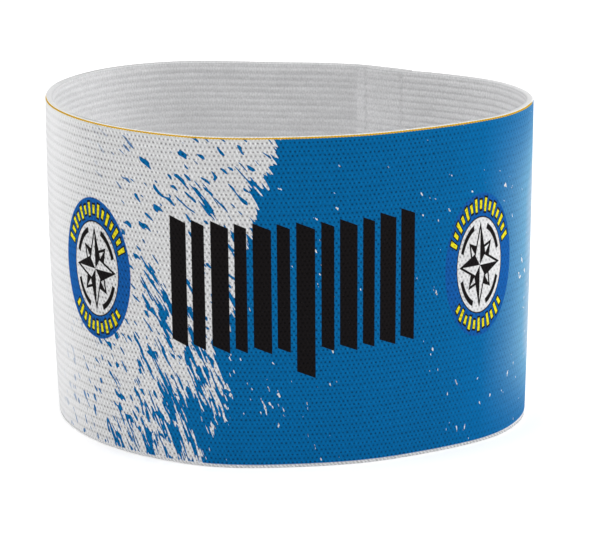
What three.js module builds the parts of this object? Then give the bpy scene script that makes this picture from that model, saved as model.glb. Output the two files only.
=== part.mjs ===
// A captain's armband: one wide strip of woven elastic, closed into a standing loop by a sewn lap.
// Millimetres, +Z up. The origin is the middle of the loop's footprint, on the surface that it stands on.
// +X runs to the right of someone who faces the printed front, and +Y away from them.
// The band is a long flat box, the strip, whose grid is bent round the loop's outline. Its two ends meet
// and are welded. The lap is a stretch where both faces swell by half a ply, each up to the other's cut end.
import * as THREE from "three";
import { mergeVertices } from "three/addons/utils/BufferGeometryUtils.js";

// The woven strip
const BAND_HEIGHT = 75; // the webbing's width, upright in the standing loop
const WALL = 1.6; // the webbing's thickness
const EDGE_RADIUS = 0.45; // the soft rounding of its long edges

// The loop over its outer face, at the two rims
const LOOP_WIDTH = 108.3;
const LOOP_DEPTH = 66.2;

// How far the ends of the loop bulge at half height
const LEFT_BULGE = 0.6;
const RIGHT_BULGE = 0.2;

// The sewn lap at the back, right of the middle
const LAP_FROM_MIDDLE = 16.8; // from the back's middle to the lap's inner cut end, along the outer face
const LAP_LENGTH = 13.5;
const LAP_THICKNESS = 2.4; // two plies pressed flat by their stitches
const LAP_RAMP = 3.5; // how far from the lap each face starts to swell
const CUT_EDGE = 0.5; // the length over which a face drops at a cut end

// The outline from above, anticlockwise from the right end, as shares of half the loop's width and of half
// its depth. It is an egg with its blunt end on the left, and a flat stretch at the back where the lap is.
const OUTLINE = [
  { across: 0.89, deep: 0.36 },
  { across: 0.45, deep: 0.75 },
  { across: 0.24, deep: 0.9 },
  { across: -0.02, deep: 0.95 },
  { across: -0.51, deep: 0.99 },
  { across: -0.81, deep: 0.78 },
  { across: -0.98, deep: 0.38 },
  { across: -0.97, deep: -0.12 },
  { across: -0.76, deep: -0.61 },
  { across: -0.35, deep: -0.96 },
  { across: 0.08, deep: -0.98 },
  { across: 0.43, deep: -0.86 },
  { across: 0.89, deep: -0.45 },
  { across: 1, deep: -0.04 },
];

// How finely the grid is cut
const STATION_PITCH = 2.2; // between sections along the loop
const ROWS_BETWEEN_EDGES = 8;
const STEPS_ON_EDGE = 3; // round each long edge's quarter circle
const CURVE_DIVISIONS = 4000; // for even lengths along the outline

// A closed curve through the outline's rows, stretched to the loop's width and depth
function outlineCurve() {
  const through = (width, depth) =>
    new THREE.CatmullRomCurve3(
      OUTLINE.map((row) => new THREE.Vector3((row.across * width) / 2, (row.deep * depth) / 2, 0)),
      true,
      "centripetal",
    );
  const first = new THREE.Box3().setFromPoints(through(LOOP_WIDTH, LOOP_DEPTH).getPoints(CURVE_DIVISIONS));
  const size = first.getSize(new THREE.Vector3());
  const curve = through(LOOP_WIDTH ** 2 / size.x, LOOP_DEPTH ** 2 / size.y);
  curve.arcLengthDivisions = CURVE_DIVISIONS;
  return curve;
}

const curve = outlineCurve();
const AROUND = curve.getLength();

// The length along the outline at which it crosses the middle of the back
function backMiddle() {
  const step = AROUND / CURVE_DIVISIONS;
  for (let along = 0; along < AROUND; along += step) {
    const here = curve.getPointAt(along / AROUND);
    if (here.y > 0 && here.x < 0) return along;
  }
}

// Lengths run anticlockwise, so from the back's middle the lap lies the other way round the loop
const INNER_CUT = backMiddle() - LAP_FROM_MIDDLE;
const OUTER_CUT = INNER_CUT - LAP_LENGTH;

// How much a face swells at one place: it climbs over the ramp, and drops at the cut end
function swell(along, rampFoot, rampTop, dropTop, dropFoot) {
  const climbed = THREE.MathUtils.smoothstep(along, Math.min(rampFoot, rampTop), Math.max(rampFoot, rampTop));
  const dropped = THREE.MathUtils.smoothstep(along, Math.min(dropTop, dropFoot), Math.max(dropTop, dropFoot));
  const up = rampFoot < rampTop ? climbed : 1 - climbed;
  const down = dropTop < dropFoot ? 1 - dropped : dropped;
  return (Math.min(up, down) * (LAP_THICKNESS - WALL)) / 2;
}

const outerSwell = (along) =>
  swell(along, INNER_CUT + LAP_RAMP, INNER_CUT, OUTER_CUT, OUTER_CUT - CUT_EDGE);
const innerSwell = (along) =>
  swell(along, OUTER_CUT - LAP_RAMP, OUTER_CUT, INNER_CUT, INNER_CUT + CUT_EDGE);

// Where the loop has a section: at even lengths, and wherever a ramp or a cut end starts or stops
function stationsAround() {
  const even = Math.round(AROUND / STATION_PITCH);
  const stations = Array.from({ length: even }, (_, i) => (i * AROUND) / even);
  const corners = [
    INNER_CUT + LAP_RAMP,
    INNER_CUT + CUT_EDGE,
    INNER_CUT,
    OUTER_CUT,
    OUTER_CUT - CUT_EDGE,
    OUTER_CUT - LAP_RAMP,
  ];
  const clear = stations.filter((s) => corners.every((c) => Math.abs(s - c) > CUT_EDGE / 2));
  return [...clear, ...corners, AROUND].sort((a, b) => a - b);
}

// The rows from the lower edge to the upper one, and how far each lies inside the webbing's faces
function rowsUp() {
  const edge = Array.from({ length: STEPS_ON_EDGE + 1 }, (_, i) => {
    const turn = (i / STEPS_ON_EDGE) * (Math.PI / 2);
    return { up: EDGE_RADIUS * (1 - Math.cos(turn)), inset: EDGE_RADIUS * (1 - Math.sin(turn)) };
  });
  const middle = Array.from({ length: ROWS_BETWEEN_EDGES - 1 }, (_, i) => {
    const share = (i + 1) / ROWS_BETWEEN_EDGES;
    return { up: THREE.MathUtils.lerp(EDGE_RADIUS, BAND_HEIGHT - EDGE_RADIUS, share), inset: 0 };
  });
  const top = edge.map((row) => ({ up: BAND_HEIGHT - row.up, inset: row.inset })).reverse();
  return [...edge, ...middle, ...top];
}

// The point of the loop at a length along the outline, on one face, on one row
function wallPoint(along, outside, row) {
  const share = THREE.MathUtils.euclideanModulo(along / AROUND, 1);
  const point = curve.getPointAt(share);
  const tangent = curve.getTangentAt(share);
  const outward = outside ? outerSwell(along) - row.inset : row.inset - WALL - innerSwell(along);
  point.x += tangent.y * outward;
  point.y -= tangent.x * outward;
  const side = point.x / (LOOP_WIDTH / 2);
  const bulge = (side < 0 ? LEFT_BULGE : RIGHT_BULGE) * side * Math.abs(side);
  point.x += bulge * Math.sin((Math.PI * row.up) / BAND_HEIGHT);
  point.z = row.up;
  return point;
}

// The strip's grid bent round the loop, without the two end faces, which meet inside the webbing
function bandGeometry() {
  const stations = stationsAround();
  const rows = rowsUp();
  const columns = stations.length - 1;
  const layers = rows.length - 1;
  const strip = new THREE.BoxGeometry(columns, 1, layers, columns, 1, layers);
  const grid = strip.attributes.position;
  const isEnd = (i) => Math.abs(grid.getX(i)) === columns / 2;
  const kept = [];
  for (let i = 0; i < strip.index.count; i += 3) {
    const corners = [0, 1, 2].map((k) => strip.index.getX(i + k));
    const first = grid.getX(corners[0]);
    const onEndFace = isEnd(corners[0]) && corners.every((c) => grid.getX(c) === first);
    if (!onEndFace) kept.push(...corners);
  }
  strip.setIndex(kept);
  for (let i = 0; i < grid.count; i++) {
    // The grid's +Y side is the loop's inner face when lengths run anticlockwise
    const station = stations[Math.round(grid.getX(i) + columns / 2)];
    const row = rows[Math.round(grid.getZ(i) + layers / 2)];
    const point = wallPoint(station, grid.getY(i) < 0, row);
    grid.setXYZ(i, point.x, point.y, point.z);
  }
  strip.deleteAttribute("normal");
  strip.deleteAttribute("uv");
  const band = mergeVertices(strip, 1e-3);
  band.computeBoundingBox();
  const middle = band.boundingBox.getCenter(new THREE.Vector3());
  band.translate(-middle.x, -middle.y, 0);
  band.computeVertexNormals();
  return band;
}

const elastic = new THREE.MeshStandardMaterial({ color: 0xe9e9ea, roughness: 0.85, metalness: 0 });
const band = new THREE.Mesh(bandGeometry(), elastic);
band.name = "elastic_band";

const armband = new THREE.Group();
armband.add(band);
export default armband;
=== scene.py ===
# %% [markdown]
# # A captain's armband
# One strip of wide woven elastic, printed outside, ribbed inside, whose ends are lapped and sewn so that it
# stands as an open loop. The solid in model.glb gives its size and its place. Here the strip gets what a
# stand-in lacks: the ribs of its inner face, its two cut ends, the thread of the lap, its weave and its
# print.

# %% Load the solid
import math

import bmesh
import bpy
import numpy as np
from mathutils import Matrix, Vector


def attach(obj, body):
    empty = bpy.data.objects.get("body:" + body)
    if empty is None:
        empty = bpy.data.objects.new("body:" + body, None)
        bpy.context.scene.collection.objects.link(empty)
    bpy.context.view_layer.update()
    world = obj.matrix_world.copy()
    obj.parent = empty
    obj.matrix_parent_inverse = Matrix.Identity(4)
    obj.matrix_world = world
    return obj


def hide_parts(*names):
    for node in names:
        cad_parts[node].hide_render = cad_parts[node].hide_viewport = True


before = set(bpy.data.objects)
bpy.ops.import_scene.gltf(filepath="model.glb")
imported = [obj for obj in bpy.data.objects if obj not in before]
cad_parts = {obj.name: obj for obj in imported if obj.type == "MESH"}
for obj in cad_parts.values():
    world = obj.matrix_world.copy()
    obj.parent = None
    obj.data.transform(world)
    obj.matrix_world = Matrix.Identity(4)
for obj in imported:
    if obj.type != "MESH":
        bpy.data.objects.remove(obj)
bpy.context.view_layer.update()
MM = 0.001

# %% [markdown]
# ## Camera
# The picture was taken from about half a metre in front with a long lens, looking down at about 19.5
# degrees, which shows the printed front and, over its rim, the inside of the back wall. The camera comes
# first, so that every later choice can be judged in its frame. Its turn is built from three plain turns
# instead of angles set by hand: tipped down, panned a little to the left, and rolled by a small part of a
# degree.

# %% Camera
EYE = Vector((3.845, -471.585, 201.404)) * MM
LOOK_DOWN = math.radians(19.493)
PAN = math.radians(0.153)
ROLL = math.radians(-0.395)

bpy.ops.object.camera_add(location=EYE)
camera = bpy.context.object
camera.data.lens = 132.0
camera.data.sensor_width = 36.0
camera.data.clip_start = 0.01
camera.data.clip_end = 20.0
camera.matrix_world = (
    Matrix.Translation(EYE)
    @ Matrix.Rotation(PAN, 4, "Z")
    @ Matrix.Rotation(math.pi / 2 - LOOK_DOWN, 4, "X")
    @ Matrix.Rotation(ROLL, 4, "Z")
)
bpy.context.scene.camera = camera
print("camera at", tuple(round(v, 3) for v in camera.location), "lens", camera.data.lens)

# %% [markdown]
# ## The measures of the strip
# Webbing is bought flat, so its measures are flat ones too: 75 mm wide, 1.6 mm thick and 292 mm long, of
# which the last 13.5 mm lie under the first ones in the lap. The inner face has 48 ribs, one for each pair
# of rubber cores in the weave, between two plain selvedges.

# %% Measures, in millimetres
BAND_HEIGHT = 75.0
WALL = 1.6
LOOP_WIDTH = 108.3
LOOP_DEPTH = 66.2
LAP_FROM_MIDDLE = 16.8
LAP_LENGTH = 13.5
LAP_THICKNESS = 2.4
LAP_RAMP = 3.5
LEFT_BULGE = 0.6
RIGHT_BULGE = 0.2

RIBS = 48
SELVEDGE = 1.0
RIB_PITCH = (BAND_HEIGHT - 2 * SELVEDGE) / RIBS
RIB_RISE = 0.15
EDGE_ROUND = 0.42
print("rib pitch", round(RIB_PITCH, 4), "mm")

# %% [markdown]
# ## The outline of the loop
# From above the standing band is an egg with its blunt end on the left. The outline is the one that the
# solid was made on: a smooth curve through fourteen points, stretched to the loop's width and depth. A
# Bezier circle could be pulled to this shape by eye, but then it would drift from the solid. So the same
# centripetal curve is worked out from the same table, and everything else is measured along it.

# %% Outline table and smooth curve
OUTLINE = (
    (0.89, 0.36), (0.45, 0.75), (0.24, 0.9), (-0.02, 0.95), (-0.51, 0.99), (-0.81, 0.78), (-0.98, 0.38),
    (-0.97, -0.12), (-0.76, -0.61), (-0.35, -0.96), (0.08, -0.98), (0.43, -0.86), (0.89, -0.45), (1.0, -0.04),
)
STEPS_PER_SPAN = 150


def smooth_loop(width, depth):
    """Points of a closed centripetal curve through the outline's rows, as an array of x and y."""
    rows = np.array(OUTLINE) * (width / 2, depth / 2)
    points = []
    for i in range(len(rows)):
        before, here, after, beyond = (rows[(i + k) % len(rows)] for k in (-1, 0, 1, 2))
        gaps = [math.sqrt(np.linalg.norm(b - a)) for a, b in ((before, here), (here, after), (after, beyond))]
        leave = (here - before) / gaps[0] - (after - before) / (gaps[0] + gaps[1]) + (after - here) / gaps[1]
        reach = (after - here) / gaps[1] - (beyond - here) / (gaps[1] + gaps[2]) + (beyond - after) / gaps[2]
        leave, reach = leave * gaps[1], reach * gaps[1]
        for t in np.arange(STEPS_PER_SPAN) / STEPS_PER_SPAN:
            points.append(
                here * (2 * t**3 - 3 * t**2 + 1)
                + leave * (t**3 - 2 * t**2 + t)
                + after * (3 * t**2 - 2 * t**3)
                + reach * (t**3 - t**2)
            )
    return np.array(points)


first_try = np.ptp(smooth_loop(LOOP_WIDTH, LOOP_DEPTH), axis=0)
rim = smooth_loop(LOOP_WIDTH**2 / first_try[0], LOOP_DEPTH**2 / first_try[1])
print("loop", np.round(np.ptp(rim, axis=0), 2), "mm")

# %% Lengths along the outline, and where the lap lies
closed_rim = np.vstack([rim, rim[:1]])
rim_lengths = np.concatenate([[0], np.cumsum(np.linalg.norm(np.diff(closed_rim, axis=0), axis=1))])
AROUND = rim_lengths[-1]


def rim_point(length):
    """The point of the outline at a length along it, anticlockwise from above."""
    at = np.mod(length, AROUND)
    return np.array([np.interp(at, rim_lengths, closed_rim[:, k]) for k in (0, 1)])


def rim_outward(length):
    """The direction that points out of the loop there."""
    ahead = rim_point(length + 0.3) - rim_point(length - 0.3)
    ahead /= np.linalg.norm(ahead)
    return np.array([ahead[1], -ahead[0]])


back_middle = rim_lengths[np.where((closed_rim[:, 1] > 0) & (closed_rim[:, 0] < 0))[0][0]]
inner_cut = back_middle - LAP_FROM_MIDDLE
outer_cut = inner_cut - LAP_LENGTH
STRIP_LENGTH = AROUND + LAP_LENGTH
print("round", round(AROUND, 2), "mm, strip", round(STRIP_LENGTH, 2), "mm")

# %% [markdown]
# ## The inner face, rib by rib
# The rubber cores draw the inner face into rounded ribs with narrow grooves between them. A bump map could
# fake them, but they show at the rim and at the cut end, so they are modelled. One rib is a long grid of six
# rows, whose rows are lifted to a low arch, and an array repeats it 48 times up the strip. The strip is made
# flat and upright: X runs along it from the outer cut end, Y into the webbing, and Z up.

# %% One rib
COLUMNS = 150
ARCH = ((1, 0.16, 0.3), (2, 0.32, 0.78), (3, 0.5, 1.0), (4, 0.68, 0.78), (5, 0.84, 0.3))


def deselect_all():
    """Operators act on all that is selected, so each piece starts with nothing selected."""
    if bpy.context.object and bpy.context.object.mode != "OBJECT":
        bpy.ops.object.mode_set(mode="OBJECT")
    bpy.ops.object.select_all(action="DESELECT")


def upright_grid(name, columns, rows, low, high, depth):
    """A flat grid as long as the strip, upright, between two heights and at one depth, in millimetres."""
    deselect_all()
    bpy.ops.mesh.primitive_grid_add(
        x_subdivisions=columns, y_subdivisions=rows, size=1, rotation=(math.pi / 2, 0, 0),
        location=(STRIP_LENGTH / 2 * MM, depth * MM, (low + high) / 2 * MM),
    )
    grid = bpy.context.object
    grid.name = name
    grid.scale = (STRIP_LENGTH * MM, (high - low) * MM, 1)
    bpy.ops.object.transform_apply(location=True, rotation=True, scale=True)
    return grid


def select_where(piece, test, kind="VERT"):
    """In edit mode, selects the vertices or edges whose corners all pass the test. Returns how many."""
    bpy.ops.mesh.select_mode(type=kind)
    bpy.ops.mesh.select_all(action="DESELECT")
    mesh = bmesh.from_edit_mesh(piece.data)
    parts = mesh.verts if kind == "VERT" else mesh.edges
    chosen = 0
    for part in parts:
        corners = [part] if kind == "VERT" else part.verts
        if all(test(corner.co / MM) for corner in corners):
            part.select_set(True)
            chosen += 1
    mesh.select_flush_mode()
    bmesh.update_edit_mesh(piece.data)
    return chosen


strip = upright_grid("band_webbing", COLUMNS, 6, SELVEDGE, SELVEDGE + RIB_PITCH, WALL)
bpy.ops.object.mode_set(mode="EDIT")
for row, share, rise in ARCH:
    was = SELVEDGE + RIB_PITCH * row / 6
    select_where(strip, lambda at: abs(at.z - was) < 0.02)
    move_up = SELVEDGE + RIB_PITCH * share - was
    bpy.ops.transform.translate(value=(0, RIB_RISE * rise * MM, move_up * MM))
bpy.ops.object.mode_set(mode="OBJECT")
print("one rib has", len(strip.data.polygons), "faces")

# %% All the ribs
array = strip.modifiers.new("ribs", "ARRAY")
array.count = RIBS
array.use_relative_offset = False
array.use_constant_offset = True
array.constant_offset_displace = (0, 0, RIB_PITCH * MM)
array.use_merge_vertices = True
array.merge_threshold = 0.02 * MM
bpy.ops.object.modifier_apply(modifier="ribs")
print("inner face", len(strip.data.polygons), "faces")

# %% [markdown]
# ## Selvedges, outer face and edges
# Each long edge of the webbing is a plain woven selvedge. The ribbed sheet's first and last rows are
# extruded to the strip's full height for it. The outer face is a second grid with the same columns, so the
# two sheets bridge cleanly along the top and the bottom. The two cut ends are filled, which closes the
# strip, and last a bevel rounds the long edges. It comes after the filling, because a bevel that ends at a
# hole goes astray there.

# %% Selvedges of the inner face
LOW_RIB = SELVEDGE
HIGH_RIB = BAND_HEIGHT - SELVEDGE
bpy.ops.object.mode_set(mode="EDIT")
for height, step in ((LOW_RIB, -SELVEDGE), (HIGH_RIB, SELVEDGE)):
    count = select_where(strip, lambda at: abs(at.z - height) < 0.02, "EDGE")
    bpy.ops.mesh.extrude_region_move(TRANSFORM_OT_translate={"value": (0, 0, step * MM)})
    print("selvedge from", count, "edges")
bpy.ops.object.mode_set(mode="OBJECT")

# %% Outer face, bridged to the inner one
OUTER_ROWS = 30
outer_face = upright_grid("outer_face", COLUMNS, OUTER_ROWS, 0, BAND_HEIGHT, 0)
deselect_all()
outer_face.select_set(True)
strip.select_set(True)
bpy.context.view_layer.objects.active = strip
bpy.ops.object.join()
bpy.ops.object.mode_set(mode="EDIT")
for height in (0, BAND_HEIGHT):
    select_where(strip, lambda at: abs(at.z - height) < 0.01, "EDGE")
    bpy.ops.mesh.bridge_edge_loops()
bpy.ops.object.mode_set(mode="OBJECT")
print("strip so far", len(strip.data.polygons), "faces")

# %% Cut ends
bpy.ops.object.mode_set(mode="EDIT")
bpy.ops.mesh.select_all(action="SELECT")
bpy.ops.mesh.remove_doubles(threshold=0.004 * MM)
bpy.ops.mesh.fill_holes(sides=0)
bpy.ops.mesh.select_all(action="SELECT")
bpy.ops.mesh.normals_make_consistent(inside=False)
bpy.ops.object.mode_set(mode="OBJECT")
print("closed strip", len(strip.data.polygons), "faces")

# %% Rounded long edges
bpy.ops.object.mode_set(mode="EDIT")
select_where(strip, lambda at: min(at.z, BAND_HEIGHT - at.z) < 0.01, "EDGE")
mesh = bmesh.from_edit_mesh(strip.data)
for edge in mesh.edges:
    ends = [corner.co for corner in edge.verts]
    if edge.select and abs(ends[0].x - ends[1].x) < 0.1 * MM:
        edge.select_set(False)
mesh.select_flush_mode()
bmesh.update_edit_mesh(strip.data)
bpy.ops.mesh.bevel(
    offset=EDGE_ROUND * MM, offset_type="OFFSET", segments=3, profile=0.5, clamp_overlap=True,
)
bpy.ops.object.mode_set(mode="OBJECT")
check = bmesh.new()
check.from_mesh(strip.data)
print("after the bevel", len(check.faces), "faces, open edges", sum(not e.is_manifold for e in check.edges))
print("strip volume", round(check.calc_volume() / MM**3), "mm3")
check.free()

# %% [markdown]
# ## The place of every point on the flat strip
# The print and the weave follow the flat webbing, not the room, so each vertex keeps its flat place as an
# attribute before the strip is bent: how far along from the front's middle, how deep in the wall, and how
# high, in millimetres. A UV map would do for the two faces, but it has no third number, and the depth tells
# the printed face from the ribbed one.

# %% Flat place as an attribute
front_middle = rim_lengths[np.where((closed_rim[:, 1] < 0) & (closed_rim[:, 0] < 0))[0][-1]]
FRONT_AT = float(np.mod(front_middle - outer_cut, AROUND))


def corners_of(piece):
    """The vertices of a piece as an array, in millimetres."""
    flat = np.empty(len(piece.data.vertices) * 3)
    piece.data.vertices.foreach_get("co", flat)
    return flat.reshape(-1, 3) / MM


def put_corners(piece, corners):
    """Moves the vertices of a piece to the rows of an array, in millimetres."""
    piece.data.vertices.foreach_set("co", (corners * MM).ravel())
    piece.data.update()


def keep_flat_place(piece):
    """Stores each vertex's place on the flat strip."""
    place = corners_of(piece)
    place[:, 0] -= FRONT_AT
    flat = piece.data.attributes.new("flat_place", "FLOAT_VECTOR", "POINT")
    flat.data.foreach_set("vector", place.ravel())


keep_flat_place(strip)
print("front's middle at", round(FRONT_AT, 2), "mm from the outer cut end")

# %% [markdown]
# ## Pressing the lap and bending the strip
# In the lap the two plies are pressed to three quarters of their thickness, and each cut end to less than a
# quarter, so that it sinks into the other ply and shows as a low step. The first 13.5 mm of the strip lie
# outside and the last 13.5 mm inside, so the path that carries the strip swings out at its start and in at
# its end, by as much as the plies need to lie on each other. A Curve modifier then bends the strip along
# that path, which keeps every length. Bending the strip by hand would stretch it unevenly.

# %% Press the two plies
def ease(x):
    """Rises smoothly from 0 to 1."""
    x = np.clip(x, 0, 1)
    return x * x * (3 - 2 * x)


PLY = LAP_THICKNESS / 2
SPARE = WALL - PLY
CUT_PRESS = 0.35
CUT_TAPER = 4.0


def thickness_at(from_end):
    """How thick the strip is at a length from its nearer cut end.

    It is thinnest at the cut, one ply thick in the lap, and full again under the other ply's cut end."""
    thickness = PLY - (PLY - CUT_PRESS) * (1 - ease(from_end / CUT_TAPER))
    return thickness + SPARE * ease((from_end - LAP_LENGTH + CUT_TAPER) / CUT_TAPER)


def pressed(corners):
    """The corners of the flat strip with both of its ends pressed."""
    from_end = np.minimum(corners[:, 0], STRIP_LENGTH - corners[:, 0])
    corners[:, 1] *= thickness_at(from_end) / WALL
    return corners


put_corners(strip, pressed(corners_of(strip)))
print("ply in the lap", PLY, "mm, at the cut", CUT_PRESS, "mm")

# %% Path of the strip's outer face
PATH_STEP = 0.5
PATH_PAST_END = 3.0
SWELL = (LAP_THICKNESS - WALL) / 2


def path_points():
    """The path from the outer cut end anticlockwise round the loop to the inner cut end."""
    lengths = np.arange(0, STRIP_LENGTH + PATH_PAST_END, PATH_STEP)
    points = []
    for length in lengths:
        to_end = STRIP_LENGTH - length
        out_at_start = SWELL * (1 - ease((length - LAP_LENGTH) / LAP_RAMP))
        out_at_start -= (PLY - CUT_PRESS - SPARE) * (1 - ease(length / CUT_TAPER))
        in_at_end = PLY - SWELL + SPARE * (1 - ease(to_end / CUT_TAPER))
        in_at_end -= SPARE * ease((to_end - LAP_LENGTH + CUT_TAPER) / CUT_TAPER)
        in_at_end -= (PLY - SWELL - SPARE) * ease((to_end - LAP_LENGTH) / LAP_RAMP)
        at = outer_cut + length
        points.append(rim_point(at) + rim_outward(at) * (out_at_start - in_at_end))
    return points


def path_curve(name, points):
    """An open path through points in millimetres, flat on the floor."""
    data = bpy.data.curves.new(name, "CURVE")
    data.dimensions = "3D"
    data.twist_mode = "Z_UP"
    line = data.splines.new("POLY")
    line.points.add(len(points) - 1)
    for row, (x, y) in zip(line.points, points):
        row.co = (x * MM, y * MM, 0, 1)
    path = bpy.data.objects.new(name, data)
    bpy.context.scene.collection.objects.link(path)
    return path


path = path_curve("strip_path", path_points())
print("path of", len(path.data.splines[0].points), "points")

# %% Bend the strip
def bend(piece):
    """Bends a flat piece along the path, and lets the loop's two ends bulge."""
    deselect_all()
    bpy.context.view_layer.objects.active = piece
    piece.select_set(True)
    curve = piece.modifiers.new("bend", "CURVE")
    curve.object = path
    curve.deform_axis = "POS_X"
    bpy.ops.object.modifier_apply(modifier="bend")
    corners = corners_of(piece)
    side = corners[:, 0] / (LOOP_WIDTH / 2)
    bulge = np.where(side < 0, LEFT_BULGE, RIGHT_BULGE) * side * np.abs(side)
    corners[:, 0] += bulge * np.sin(math.pi * corners[:, 2] / BAND_HEIGHT)
    put_corners(piece, corners)


def shift(piece, by):
    """Moves a piece over the floor, in millimetres."""
    put_corners(piece, corners_of(piece) + (by[0], by[1], 0))


bend(strip)
off_centre = (corners_of(strip).min(axis=0) + corners_of(strip).max(axis=0)) / 2
shift(strip, -off_centre)
print("bent strip", [tuple(np.round(f(corners_of(strip), axis=0), 2)) for f in (np.min, np.max)])

# %% Hand the strip to the frame
deselect_all()
strip.select_set(True)
bpy.context.view_layer.objects.active = strip
bpy.ops.object.shade_smooth_by_angle(angle=math.radians(50))
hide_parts("elastic_band")
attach(strip, "root")
print("strip", sum(len(face.vertices) - 2 for face in strip.data.polygons), "triangles")

# %% [markdown]
# ## Stitches of the lap
# The lap is closed by two upright rows of lockstitch, which show on both faces as short threads that dip
# into the webbing at each end. One stitch is a small ring of eight points, spun through a shallow arc into a
# bent thread and pinched at its ends. It is copied up each row on the flat strip, and then bent with it.

# %% One stitch
THREAD = 0.42
STITCH = 2.6
STITCH_ARC = math.radians(54)
SINK = 0.02
PINCH = 0.45


def one_stitch():
    """A bent thread, upright, whose middle stands at the origin and bows towards -Y."""
    deselect_all()
    bow = STITCH / 2 / math.sin(STITCH_ARC / 2)
    foot = -STITCH_ARC / 2
    bpy.ops.mesh.primitive_circle_add(
        vertices=8, radius=THREAD / 2 * MM, fill_type="NGON",
        location=(0, -bow * math.cos(foot) * MM, bow * math.sin(foot) * MM),
        rotation=(-foot, 0, 0),
    )
    stitch = bpy.context.object
    bpy.ops.object.transform_apply(location=True, rotation=True, scale=True)
    bpy.ops.object.mode_set(mode="EDIT")
    bpy.ops.mesh.select_all(action="SELECT")
    bpy.ops.mesh.spin(steps=8, angle=STITCH_ARC, center=(0, 0, 0), axis=(1, 0, 0))
    bpy.ops.mesh.select_all(action="SELECT")
    bpy.ops.mesh.remove_doubles(threshold=0.001 * MM)
    bpy.ops.mesh.normals_make_consistent(inside=False)
    bpy.ops.object.mode_set(mode="OBJECT")
    corners = corners_of(stitch)
    corners[:, 1] += bow
    end = np.abs(corners[:, 2]) / (STITCH / 2)
    corners[:, 0] *= 1 - PINCH * np.clip(end, 0, 1) ** 3
    put_corners(stitch, corners)
    return stitch


stitch = one_stitch()
print("stitch", np.round(np.ptp(corners_of(stitch), axis=0), 2), "mm,", len(stitch.data.polygons), "faces")

# %% Rows of stitches
ROW_INSET = 2.3
ROW_FOOT = 1.6
STITCHES = 27
STITCH_PITCH = (BAND_HEIGHT - 2 * ROW_FOOT) / STITCHES
rows = (
    (ROW_INSET, -1), (LAP_LENGTH - ROW_INSET, -1),
    (STRIP_LENGTH - LAP_LENGTH + ROW_INSET, 1), (STRIP_LENGTH - ROW_INSET, 1),
)
RNG = np.random.default_rng(4)
copies = []
for along, face in rows:
    for k in range(STITCHES):
        copy = stitch.copy()
        copy.data = stitch.data.copy()
        bpy.context.scene.collection.objects.link(copy)
        corners = corners_of(copy)
        surface = SINK if face < 0 else thickness_at(STRIP_LENGTH - along) - SINK
        corners[:, 1] = surface + (corners[:, 1] if face < 0 else -corners[:, 1])
        corners[:, 0] += along + RNG.uniform(-0.05, 0.05)
        corners[:, 2] += ROW_FOOT + (k + 0.5) * STITCH_PITCH
        put_corners(copy, corners)
        copies.append(copy)
bpy.data.objects.remove(stitch)
deselect_all()
for copy in copies:
    copy.select_set(True)
bpy.context.view_layer.objects.active = copies[0]
bpy.ops.object.join()
thread = bpy.context.object
thread.name = "lap_stitches"
bpy.ops.object.mode_set(mode="EDIT")
bpy.ops.mesh.select_all(action="SELECT")
bpy.ops.mesh.normals_make_consistent(inside=False)
bpy.ops.object.mode_set(mode="OBJECT")
bend(thread)
shift(thread, -off_centre)
bpy.ops.object.shade_smooth()
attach(thread, "root")
bpy.data.objects.remove(path)
print("stitches", len(copies), "in", len(rows), "rows")

# %% [markdown]
# ## A way to write shader maths
# A woven print needs a few hundred small sums, and as nodes placed by hand they can't be read. So a socket
# is wrapped in a class whose operators each add one Math node. Every other node comes from one method, which
# takes the node's type, its settings, and the numbers or links of its sockets.

# %% Wrapped sockets
class Wire:
    """An output socket that can be used in sums. Each operator adds a Math node."""

    def __init__(self, finish, socket):
        self.finish = finish
        self.socket = socket

    def maths(self, operation, *others):
        sockets = dict(enumerate((self, *others)))
        return self.finish.node("ShaderNodeMath", {"operation": operation}, sockets)

    def __add__(self, other):
        return self.maths("ADD", other)

    __radd__ = __add__

    def __mul__(self, other):
        return self.maths("MULTIPLY", other)

    __rmul__ = __mul__

    def __sub__(self, other):
        return self.maths("SUBTRACT", other)

    def __rsub__(self, other):
        return self * -1 + other

    def __truediv__(self, other):
        return self.maths("DIVIDE", other)

    def __mod__(self, other):
        return self.maths("FLOORED_MODULO", other)

    def __pow__(self, other):
        return self.maths("POWER", other)

    def __abs__(self):
        return self.maths("ABSOLUTE")

    def __gt__(self, other):
        return self.maths("GREATER_THAN", other)

    def least(self, other):
        return self.maths("MINIMUM", other)

    def most(self, other):
        return self.maths("MAXIMUM", other)

    def ramp(self, low, high):
        """0 at low, 1 at high, and smooth between. low may be the larger one."""
        if low < high:
            ends = {"From Min": low, "From Max": high, "To Min": 0.0, "To Max": 1.0}
        else:
            ends = {"From Min": high, "From Max": low, "To Min": 1.0, "To Max": 0.0}
        sockets = {"Value": self, **ends}
        return self.finish.node("ShaderNodeMapRange", {"interpolation_type": "SMOOTHSTEP"}, sockets)

    def within(self, edge, soft):
        """1 below an edge and 0 above it, with a soft step between."""
        return self.ramp(edge + soft, edge - soft)


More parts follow.
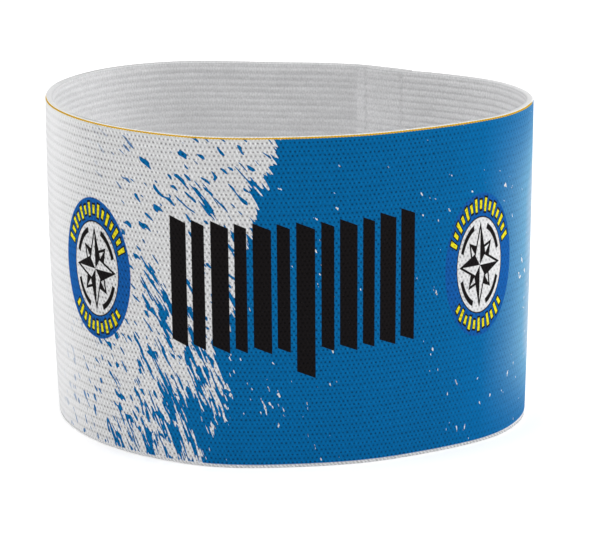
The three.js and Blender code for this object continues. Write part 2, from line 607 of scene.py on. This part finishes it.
class Finish:
    """One material, which starts with no nodes."""

    def __init__(self, name):
        self.material = bpy.data.materials.new(name)
        self.material.use_nodes = True
        self.tree = self.material.node_tree
        self.tree.nodes.clear()

    def node(self, kind, settings=None, sockets=None, output=0):
        """Adds a node: its settings first, then the numbers or links of its sockets."""
        made = self.tree.nodes.new(kind)
        for name, value in (settings or {}).items():
            if name == "stops":
                while len(made.color_ramp.elements) < len(value):
                    made.color_ramp.elements.new(1.0)
                for element, (place, colour) in zip(made.color_ramp.elements, value):
                    element.position = place
                    element.color = colour if hasattr(colour, "__len__") else (colour, colour, colour, 1)
            else:
                setattr(made, name, value)
        for name, value in (sockets or {}).items():
            if isinstance(value, Wire):
                self.tree.links.new(value.socket, made.inputs[name])
            else:
                made.inputs[name].default_value = value
        return Wire(self, made.outputs[output]) if made.outputs else None

    def mix(self, share, under, over, blend="MIX"):
        """Two colours mixed. In the Mix node the colours are sockets 6 and 7."""
        settings = {"data_type": "RGBA", "blend_type": blend}
        return self.node("ShaderNodeMix", settings, {0: share, 6: under, 7: over}, 2)

    def grey(self, value):
        """A grey as a colour."""
        return self.node("ShaderNodeCombineColor", None, {0: value, 1: value, 2: value})

    def flat_place(self):
        """Length from the front's middle, depth and height on the flat strip, in millimetres."""
        place = self.node("ShaderNodeAttribute", {"attribute_name": "flat_place"}, None, 1)
        return [self.node("ShaderNodeSeparateXYZ", None, {0: place}, k) for k in range(3)]

    def noise(self, x, y, detail=2.0, rough=0.5, seed=0.0):
        """Noise on a plane, from 0 to 1 and near 0.5 on average."""
        at = self.node("ShaderNodeCombineXYZ", None, {0: x, 1: y, 2: seed})
        return self.node(
            "ShaderNodeTexNoise", {"noise_dimensions": "3D"},
            {"Vector": at, "Scale": 1.0, "Detail": detail, "Roughness": rough},
        )


print("shader helpers ready")

# %% [markdown]
# ## Colours
# A colour picked from a screen is an sRGB one, and a shader wants a linear one, so one function turns the
# first into the second.

# %% Colours of the yarn and the inks
def ink(red, green, blue):
    """A linear colour from its screen values of 0 to 255."""
    shares = [value / 255 for value in (red, green, blue)]
    linear = [share / 12.92 if share <= 0.04045 else ((share + 0.055) / 1.055) ** 2.4 for share in shares]
    return (*linear, 1.0)


WHITE_YARN = ink(233, 233, 234)
PRINT_BLUE = ink(3, 108, 171)
# The pale blue that a painted sheen turns the print to round the right end.
SHEEN_PALE_BLUE = ink(112, 168, 204)
RING_BLUE = ink(20, 94, 172)
PRINT_BLACK = ink(25, 22, 23)
PRINT_YELLOW = ink(246, 232, 40)
MARK_EDGE = ink(30, 34, 40)
GOLD_LINE = ink(210, 168, 0)
GOLD_SHADE = ink(150, 112, 0)
print("white yarn", [round(v, 3) for v in WHITE_YARN])

# %% [markdown]
# ## The weave
# Outside, the webbing's face is an even field of small slanted pits, each row set over by half a pitch.
# Every other row is a shade darker, and towards the left end, where the loop is pulled, the rows close up to
# furrows. Inside, fine upright picks cross the ribs. All of this is regular, so it is made with remainders:
# the place divided by the pitch leaves the same small cell everywhere, and a little noise takes the
# stiffness out. It darkens the yarn where light is lost between threads, and feeds one bump.

# %% Pits, floats, furrows and bands of the outer face
PIT_PITCH = 0.963
PIT_ROW = 0.93
PIT_HALF_WIDTH = 0.26
PIT_HALF_HEIGHT = 0.30
PIT_SLANT = 0.11
WANDER_ALONG = 0.32
WANDER_UP = 0.26
FRONT_FURROW = 0.28


def weave_pits(along, height, finish):
    """The pits, the floats beside them, the furrows and the bands of the outer face, each from 0 to 1."""
    along = along + finish.noise(along / 1.3, height / 1.1, 1, 0.5, 7.1) * WANDER_ALONG
    height = height + finish.noise(along / 1.1, height / 1.6, 1, 0.5, 2.9) * WANDER_UP
    row = height / PIT_ROW
    count = row.maths("FLOOR")
    odd = count % 2
    column = along / PIT_PITCH + odd * 0.5
    across = (column % 1 - 0.5) * PIT_PITCH
    up = (row % 1 - 0.5) * PIT_ROW
    reach = ((across + up * PIT_SLANT) / PIT_HALF_WIDTH) ** 2 + (up / PIT_HALF_HEIGHT) ** 2
    uneven = finish.noise(column.maths("FLOOR") * 0.73, count * 0.61, 0, 0.5, 4.8).ramp(0.2, 0.75)
    pulled = along.ramp(-28, -50) * along.ramp(-90, -70)
    pits = reach.ramp(1.0, 0.0) * (uneven * 0.55 + 0.55) * (1 - pulled * odd * 0.35)
    floats = abs(across).ramp(0.24, 0.44) * abs(up - across * 0.3).ramp(0.42, 0.08)
    closed_up = pulled * (1 - odd * 0.7) + along.ramp(-30, -10) * FRONT_FURROW
    furrow = abs(up).ramp(0.36, 0.08) * closed_up
    band = abs((row + 0.5) / 2 % 1 - 0.5).ramp(0.35, 0.15)
    return pits, floats, furrow, band


print("pits every", PIT_PITCH, "mm, in rows", PIT_ROW, "mm apart")

# %% Picks and grooves of the inner face
PICK_PITCH = 0.67


def weave_picks(along, height):
    """1 along each pick, 1 in each groove, and the rib's number. Every other rib is set over by half."""
    rib = (height - SELVEDGE) / RIB_PITCH
    number = rib.maths("FLOOR")
    across = (along / PICK_PITCH + number % 2 * 0.5) % 1 - 0.5
    return abs(across).ramp(0.5, 0.1), abs(rib % 1 - 0.5).ramp(0.2, 0.5), number


print("picks every", PICK_PITCH, "mm")

# %% [markdown]
# ## The print
# The design is two colours split by a dry brush: white on the left and blue on the right, torn along steep
# strokes. Stretched noise gives strokes, and how much of it turns blue depends on how far a point lies from
# the split. Over it come a row of tall black bars with slanted ends, and on each side a roundel with a blue
# ring, yellow marks and a compass star.

# %% Dry-brush split
SPLIT_FOOT = -22.0
SPLIT_LEAN = 0.264
SPLIT_SPREAD = 60.0
SPARSE_STROKES = (
    (0.0, 0.25), (0.10, 0.37), (0.35, 0.40), (0.70, 0.42),
    (0.77, 0.455), (0.80, 0.5), (0.83, 0.62), (0.88, 1.0),
)
DENSE_STROKES = (
    (0.0, 0.25), (0.20, 0.375), (0.42, 0.43), (0.60, 0.47),
    (0.74, 0.50), (0.80, 0.52), (0.90, 0.59), (1.0, 1.0),
)


def brush_mask(along, height, finish):
    """1 where the ground is blue. The strokes are sparse at the upper left and dense at the foot."""
    over = along + height * (0.16 - along * 0.005) + height * height * 0.0025
    broad = finish.noise(over / 4.6, height / 24, 2, 0.55, 3.1)
    stroke = finish.noise(over / 1.25, height / 8.5, 2, 0.55, 7.7)
    hair = finish.noise(over / 0.52, height / 3.8, 1, 0.5, 1.3)
    grain = broad * 0.26 + stroke * 0.43 + hair * 0.31
    split = along - (height * SPLIT_LEAN + SPLIT_FOOT)
    place = split / SPLIT_SPREAD + 0.8
    sparse = finish.node("ShaderNodeValToRGB", {"stops": SPARSE_STROKES}, {0: place})
    dense = finish.node("ShaderNodeValToRGB", {"stops": DENSE_STROKES}, {0: place})
    low = (height + along * 0.9).ramp(26, 8)
    level = sparse * (1 - low) + dense * low - height.ramp(46, 62) * along.ramp(-16, -28) * 0.06
    blue = (grain + level).ramp(0.996, 1.004)
    patch = finish.noise(along / 14, height / 18, 1, 0.5, 9.2)
    speck = finish.noise(over / 0.95, height / 2.4, 0, 0.5, 6.1)
    specks = (speck * 0.8 + patch * 0.2).ramp(0.640, 0.650) * place.ramp(0.05, 0.35)
    fleck = finish.noise(over / 0.75, height / 2.3, 2, 0.5, 4.4)
    flecks = (fleck * 0.75 + patch * 0.25).ramp(0.680, 0.690) * (split > 2)
    return blue.most(specks) * (1 - flecks)


print("split leans", SPLIT_LEAN, "mm to the right for each mm up")

# %% Row of black bars
INK_EDGE = 0.06
BAR_SLANT = -0.42
BARS = (
    (-25.2, -21.6, 28.6, 56.6), (-20.4, -17.6, 28.0, 56.2), (-16.2, -12.4, 27.8, 56.0),
    (-11.2, -8.6, 27.6, 55.8), (-7.3, -3.4, 27.6, 55.6), (-2.2, 0.6, 27.6, 55.6),
    (1.9, 5.9, 21.8, 55.6), (7.2, 10.0, 27.6, 55.8), (11.2, 15.0, 27.6, 56.0),
    (16.2, 18.8, 27.8, 56.3), (20.0, 23.6, 28.0, 56.8), (24.7, 27.9, 28.4, 57.3),
)


def bar_mask(along, height):
    """1 on the black bars, each with a left and a right side, a foot and a top. All slant the same way."""
    ink_here = None
    for left, right, foot, top in BARS:
        from_middle = along - (left + right) / 2
        slanted = height - from_middle * BAR_SLANT
        wide = abs(from_middle).within((right - left) / 2, INK_EDGE)
        bar = wide * slanted.ramp(foot - INK_EDGE, foot + INK_EDGE) * slanted.within(top, INK_EDGE)
        ink_here = bar if ink_here is None else ink_here.most(bar)
    return ink_here


print("row of", len(BARS), "bars")

# %% Compass star of a roundel
DIAGONAL = math.sqrt(0.5)


def compass_star(across, up, angle, finish, ground):
    """Paints a star of four short and four long points, each point half black and half white."""
    half = (angle * 4).maths("SINE").ramp(-0.06, 0.06)
    slant = ((across + up) * DIAGONAL, (across - up) * DIAGONAL)
    for (one, other), point, waist, lit in ((slant, 0.46, 0.17, 1 - half), ((across, up), 0.60, 0.16, half)):
        wide = abs(one).most(abs(other))
        narrow = abs(one).least(abs(other))
        star = (wide * waist + narrow * (point - waist)) / (point * waist)
        ground = finish.mix(star.within(1.0, 0.02), ground, PRINT_BLACK)
        ground = finish.mix(star.within(0.83, 0.02) * lit, ground, WHITE_YARN)
    return ground


print("compass star of 8 points")

# %% Roundels, whose radii are shares of a roundel's own size
ROUNDELS = ((-44.9, 41.85, 9.9, 16.35), (44.0, 42.3, 8.8, 16.6))
MARKS_AT_TOP = 15
MARKS_AT_FOOT = 11
MARK_STEP = math.radians(90 / 9.5)
MARK_RADIUS = 0.832
DISC_RADIUS = 0.655
DISC_RIM = 0.02
ARC_RADIUS = 0.555


def roundel(along, height, at, finish, ground):
    """Paints one roundel over the ground, at its place and with its half width and half height."""
    across = (along - at[0]) / at[2]
    up = (height - at[1]) / at[3]
    radius = (across**2 + up**2) ** 0.5
    angle = up.maths("ARCTAN2", across)
    painted = finish.mix(radius.ramp(1.0, 0.985), ground, RING_BLUE)
    at_top = abs(angle - math.pi / 2).within(MARKS_AT_TOP / 2 * MARK_STEP, 0.01)
    at_foot = abs(angle + math.pi / 2).within(MARKS_AT_FOOT / 2 * MARK_STEP, 0.01)
    marks = at_top.most(at_foot)
    beside = abs(angle / MARK_STEP % 1 - 0.5)
    shorter = (angle / MARK_STEP).maths("FLOOR") % 2 * 0.03
    beyond = abs(radius - MARK_RADIUS) + shorter
    dark = marks * beside.within(0.365, 0.015) * beyond.within(0.12, 0.005)
    yellow = marks * beside.within(0.225, 0.015) * beyond.within(0.09, 0.005)
    painted = finish.mix(dark, painted, MARK_EDGE)
    painted = finish.mix(yellow, painted, PRINT_YELLOW)
    painted = finish.mix(radius.within(DISC_RADIUS + DISC_RIM, 0.007), painted, PRINT_BLACK)
    painted = finish.mix(radius.within(DISC_RADIUS, 0.007), painted, WHITE_YARN)
    arc = abs((angle * 2).maths("SINE")).ramp(0.62, 0.66) * abs(radius - ARC_RADIUS).within(0.04, 0.007)
    painted = finish.mix(arc, painted, PRINT_BLACK)
    return compass_star(across, up, angle, finish, painted)


print(len(ROUNDELS), "roundels of", MARKS_AT_TOP + MARKS_AT_FOOT, "marks each")

# %% Needle holes
HOLE_REACH = 0.55


def stitch_holes(along, height, outside, inside):
    """1 where the thread dips into the webbing, between two stitches of a row."""
    step = abs((height - ROW_FOOT) / STITCH_PITCH % 1 - 0.5)
    between = step.ramp(0.36, 0.48)
    holes = None
    for length, face in rows:
        near = abs(along - (length - FRONT_AT)).ramp(HOLE_REACH, 0.15) * (outside if face < 0 else inside)
        holes = near if holes is None else holes.most(near)
    return holes * (0.35 + between * 0.65)


print("needle holes along", len(rows), "rows")

# %% [markdown]
# ## The webbing's finish
# The ground, the bars and the roundels are laid one over the other. Round the right end the blue pales under
# a painted sheen, and the print ends at the back. The print stops short of the selvedges, and a hairline of
# gold runs along the front's upper edge. The pits' painted shade darkens the ink as it darkens the yarn.
# Everything but the printed face stays plain white. One long function could do all of it, but each layer has
# its own, so that it can be changed and looked at alone.

# %% Painted sheen on the blue, and the print's end, round the right end
SHEEN_FROM = 44.0
SHEEN_OVER = 20.0
SHEEN_LIMIT = 0.78


def sheen_and_print_end(along, height):
    """Painted sheen that pales the blue round the right end, least at the upper edge and the foot; 1 at the
    back, where the print ends.
    """
    past = ((along - SHEEN_FROM) / SHEEN_OVER).most(0)
    sheen_and_end = past**1.6 * 0.9 * (0.20 + 0.80 * height.ramp(78, 52)) * (0.12 + 0.88 * height.ramp(0, 22))
    sheen_and_end = sheen_and_end / ((sheen_and_end / SHEEN_LIMIT) ** 4 + 1) ** 0.25
    return sheen_and_end + (1 - sheen_and_end) * along.ramp(63, 82)


# The painted sheen on the blue starts this far right of the front's middle.
print("ink wears off from", SHEEN_FROM, "mm right of the front's middle")

# %% Printed colour
BARE_FOOT = 0.85


def printed_colour(along, depth, height, outside, finish):
    """The colour with the print on it, and how much ink there is."""
    # The painted sheen pales the blue; beyond it, round the back, the print ends.
    sheen_and_end = sheen_and_print_end(along, height) * 1.8
    blue = finish.mix(sheen_and_end.least(1), PRINT_BLUE, SHEEN_PALE_BLUE)
    ground = finish.mix(brush_mask(along, height, finish), WHITE_YARN, blue)
    ground = finish.mix(bar_mask(along, height), ground, PRINT_BLACK)
    for at in ROUNDELS:
        ground = roundel(along, height, at, finish, ground)
    below_edge = (height + depth - BAND_HEIGHT).ramp(-0.10, -0.20)
    above_foot = (height - BARE_FOOT - (along - 46).most(0) * 0.03).ramp(-0.1, 0.1)
    inked = along.ramp(-66, -64) * (1 - (sheen_and_end - 1).most(0) * 1.25).most(0) * above_foot * below_edge
    return finish.mix(inked * outside, WHITE_YARN, ground), inked


print("bare foot", BARE_FOOT, "mm high")

# %% Gold line along the front's upper edge
GOLD_TWIST = 0.68


def gold_line(along, depth, height, finish, ground):
    """Paints the gold line, which a twist makes uneven."""
    crown = height + depth
    twist = abs((along + crown * 0.7) / GOLD_TWIST % 1 - 0.5).ramp(0.12, 0.42)
    gold = (abs(crown - BAND_HEIGHT + 0.08) + twist * 0.10).ramp(0.34, 0.27)
    gold = gold * depth.ramp(0.5, 0.44) * along.ramp(64.5, 62) * along.ramp(-74, -68)
    return finish.mix(gold, ground, finish.mix(twist * 0.5, GOLD_LINE, GOLD_SHADE))


print("gold line with a twist every", GOLD_TWIST, "mm")

# %% Shade of the outer face
PIT_SHADE = 0.45
FLOAT_LIGHT = 0.24
WEAVE_SHADE = 0.205
FURROW_SHADE = 0.20
BAND_SHADE = 0.065


def outer_shade(along, height, face, weave, finish):
    """Painted shade of the woven face in its pits and furrows, with a painted highlight on the floats; faint
    at both ends.
    """
    pits, floats, furrow, band = weave
    # How fully the painted weave shows. It fades at both ends, where the side lights wash it out.
    clear = along.ramp(-63, -40) * (0.4 + 0.6 * along.ramp(50, 30)) * (0.15 + 0.85 * along.ramp(66, 52))
    clear = clear + abs(along).ramp(70, 90) * 0.8
    tuft = finish.noise(along / 0.26, height / 0.55, 2, 0.6, 2.2)
    # Painted shade in the pits, and a painted highlight on the floats beside them.
    shade = 1 - (pits * PIT_SHADE + WEAVE_SHADE - floats * FLOAT_LIGHT) * face * clear
    shade = shade * (1.01 + (tuft - 0.5) * (0.25 + clear * 0.45))
    shade = shade * (1 - furrow * face * clear * FURROW_SHADE) * (1 - band * face * BAND_SHADE)
    # Painted light: the woven face is lifted by 6% from just left of the front's middle rightwards and round
    # the back.
    return shade * (1 + along.ramp(-30, -8) * face * 0.06)


print("a pit darkens the yarn by", PIT_SHADE)

# %% Shade of the inner face
def inner_shade(along, height, inside, picks, grooves, rib, finish):
    """Painted shade of the ribbed face: in its grooves, deepest at the right end, and over all of it, least
    at both ends.
    """
    streaky = finish.noise(along / 9, rib * 3.7, 2, 0.5, 6.6)
    satin = finish.noise(along / 2.4, height / 0.34, 2, 0.5, 3.3)
    right_end = along.ramp(60, 80) * along.ramp(122, 96)
    left_end = along.ramp(-56, -70) * along.ramp(-112, -92)
    # Painted shade in the grooves, deepest at the right end, where the side light shows the ribs.
    shade = 1 - grooves * inside * (0.05 + right_end * 0.11)
    shade = shade * (1 - (1 - picks) * inside * (streaky - 0.3) * 0.12)
    shade = shade * (1 - (0.5 - satin) * inside * 0.12)
    # Painted shade over the whole inner face, less at both ends, which the side lights reach.
    return shade * (1 - inside * (0.12 - right_end * 0.03 - left_end * 0.07) + inside * streaky * 0.24)


print("ribs shaded at a pitch of", round(RIB_PITCH, 2), "mm")

# %% Shade of the selvedges
ROPE_PITCH = 0.86


def selvedge_shade(along, depth, height, outside, finish):
    """The light that the corded lower selvedge keeps, and painted shade on the upper crest and the rounding
    under it.
    """
    rope = abs(((along + height * 0.7) / ROPE_PITCH % 1 - 0.5) * 2)
    speck = finish.noise(along / 0.42, height / 0.3, 1, 0.5, 1.9)
    shade = 1 - (rope * 0.30 + speck * 0.65 - 0.24) * height.ramp(0.95, 0.8) * outside
    # The crest faces the light from above. It is darkened with painted shade, most on the front rim and at
    # the back.
    crest = height.ramp(BAND_HEIGHT - 0.04, BAND_HEIGHT - 0.005)
    front_rim = depth.ramp(0.5, 1.1) * abs(along).ramp(58, 46)
    shade = shade * (1 - crest * (0.20 + 0.32 * front_rim + 0.22 * abs(along).ramp(74, 100)))
    # Painted shade on the inner rounding under the crest, which would otherwise catch the light.
    under_crest = height.ramp(BAND_HEIGHT - 0.5, BAND_HEIGHT - 0.2) * (1 - crest) * depth.ramp(0.9, 1.15)
    return shade * (1 - under_crest * 0.24)


print("cord of the lower selvedge every", ROPE_PITCH, "mm")

# %% Webbing material
def webbing_finish():
    """White woven elastic, printed outside."""
    finish = Finish("webbing")
    along, depth, height = finish.flat_place()
    outside = depth.ramp(0.5, 0.3)
    inside = depth.ramp(1.35, 1.5)
    face = outside * height.ramp(0.8, 1.1) * height.ramp(74.7, 74.4)
    weave = weave_pits(along, height, finish)
    pits, floats = weave[:2]
    picks, grooves, rib = weave_picks(along, height)
    holes = stitch_holes(along, height, outside, inside)
    cloudy = finish.noise(along / 7, height / 5, 2, 0.5, 5.5)
    fibre = finish.noise(along / 0.16, height / 0.3, 2, 0.6, 8.8)

    colour, inked = printed_colour(along, depth, height, outside, finish)
    colour = gold_line(along, depth, height, finish, colour)
    shade = outer_shade(along, height, face, weave, finish)
    shade = shade * inner_shade(along, height, inside, picks, grooves, rib, finish)
    shade = shade * selvedge_shade(along, depth, height, outside, finish)
    shade = shade * (cloudy * 0.08 + 0.96) * (fibre * 0.12 + 0.94)
    # Painted shade in the needle holes and along the rows of stitches.
    shade = shade * (1 - holes * (0.08 + outside * 0.32))
    colour = finish.mix(1.0, colour, finish.grey(shade), "MULTIPLY")

    relief = (0.10 + floats * 0.04 - pits * 0.14) * face + picks * inside * 0.02 + fibre * 0.03 - holes * 0.2
    bump = finish.node("ShaderNodeBump", None, {"Strength": 0.8, "Distance": MM, "Height": relief})
    shader = finish.node(
        "ShaderNodeBsdfPrincipled", None,
        {"Base Color": colour, "Roughness": 0.92 - 0.1 * inked, "Sheen Weight": 0.015, "Sheen Roughness": 0.5,
         "Specular IOR Level": 0.04, "Normal": bump},
    )
    finish.node("ShaderNodeOutputMaterial", None, {"Surface": shader})
    return finish.material


strip.data.materials.clear()
strip.data.materials.append(webbing_finish())
print("webbing has", len(strip.data.materials[0].node_tree.nodes), "nodes")

# %% [markdown]
# ## The thread's finish
# Polyester thread is a touch whiter and smoother than the yarn, with a fine twist.

# %% Thread material
TWIST_PITCH = 0.35


def thread_finish():
    """White sewing thread with its twist."""
    finish = Finish("thread")
    place = finish.node("ShaderNodeTexCoord", None, None, 3)
    x, y, z = [finish.node("ShaderNodeSeparateXYZ", None, {0: place}, k) for k in range(3)]
    strand = abs((z + x + y) / (TWIST_PITCH * MM) % 1 - 0.5).ramp(0.5, 0.2)
    shade = 0.88 + strand * 0.12
    colour = finish.node("ShaderNodeCombineColor", None, {0: shade * 0.80, 1: shade * 0.80, 2: shade * 0.81})
    bump = finish.node("ShaderNodeBump", None, {"Strength": 0.6, "Distance": 0.05 * MM, "Height": strand})
    shader = finish.node(
        "ShaderNodeBsdfPrincipled", None,
        {"Base Color": colour, "Roughness": 0.55 + strand * 0.1, "Sheen Weight": 0.1, "Normal": bump},
    )
    finish.node("ShaderNodeOutputMaterial", None, {"Surface": shader})
    return finish.material


thread.data.materials.clear()
thread.data.materials.append(thread_finish())
print("thread has", len(thread.data.materials[0].node_tree.nodes), "nodes")

# %% [markdown]
# ## Floor and light
# The band stands on a plain white floor, which fills the frame. An even pale sky gives the flat, soft light
# of a catalogue picture. Two wide softboxes at the sides brighten the loop's ends, and a large one above
# whitens the floor.

# %% Floor
deselect_all()
bpy.ops.mesh.primitive_plane_add(size=6, location=(0, 0, 0))
floor = bpy.context.object
floor.name = "floor"
floor_finish = Finish("floor_white")
floor_place = floor_finish.node("ShaderNodeTexCoord", None, None, 3)
floor_x, floor_y = [floor_finish.node("ShaderNodeSeparateXYZ", None, {0: floor_place}, k) for k in (0, 1)]
floor_grey = floor_finish.noise(floor_x, floor_y) * 0.01 + 0.96
floor_shader = floor_finish.node(
    "ShaderNodeBsdfPrincipled", None,
    {"Base Color": floor_finish.grey(floor_grey), "Roughness": 0.9, "Specular IOR Level": 0.0,
     "Emission Color": (1.0, 1.0, 1.0, 1.0), "Emission Strength": 0.22},
)
floor_finish.node("ShaderNodeOutputMaterial", None, {"Surface": floor_shader})
floor.data.materials.append(floor_finish.material)
print("floor", floor.dimensions.x, "m wide")

# %% Sky and softboxes
world = bpy.data.worlds.new("studio")
bpy.context.scene.world = world
world.use_nodes = True
sky = world.node_tree.nodes["Background"]
sky.inputs["Color"].default_value = (1.0, 1.0, 1.0, 1.0)
sky.inputs["Strength"].default_value = 0.230


def softbox(name, place, aim, size, watts):
    """A square area light that faces a point."""
    deselect_all()
    bpy.ops.object.light_add(type="AREA", location=place)
    lamp = bpy.context.object
    lamp.name = name
    lamp.data.size = size
    lamp.data.energy = watts
    lamp.rotation_euler = (Vector(aim) - Vector(place)).to_track_quat("-Z", "Y").to_euler()
    return lamp


softbox("softbox_above", (0.0, 0.0, 1.5), (0, 0, 0), 0.8, 11.7)
softbox("softbox_front", (-0.2, -1.8, 0.3), (0, 0, 0.04), 1.0, 2.7)
softbox("softbox_left", (-1.1, -0.2, 0.7), (0, 0, 0.05), 0.8, 5.5)
softbox("softbox_right", (1.1, -0.12, 0.75), (0, 0, 0.05), 0.8, 8.5)
bpy.context.scene.view_settings.view_transform = "Standard"
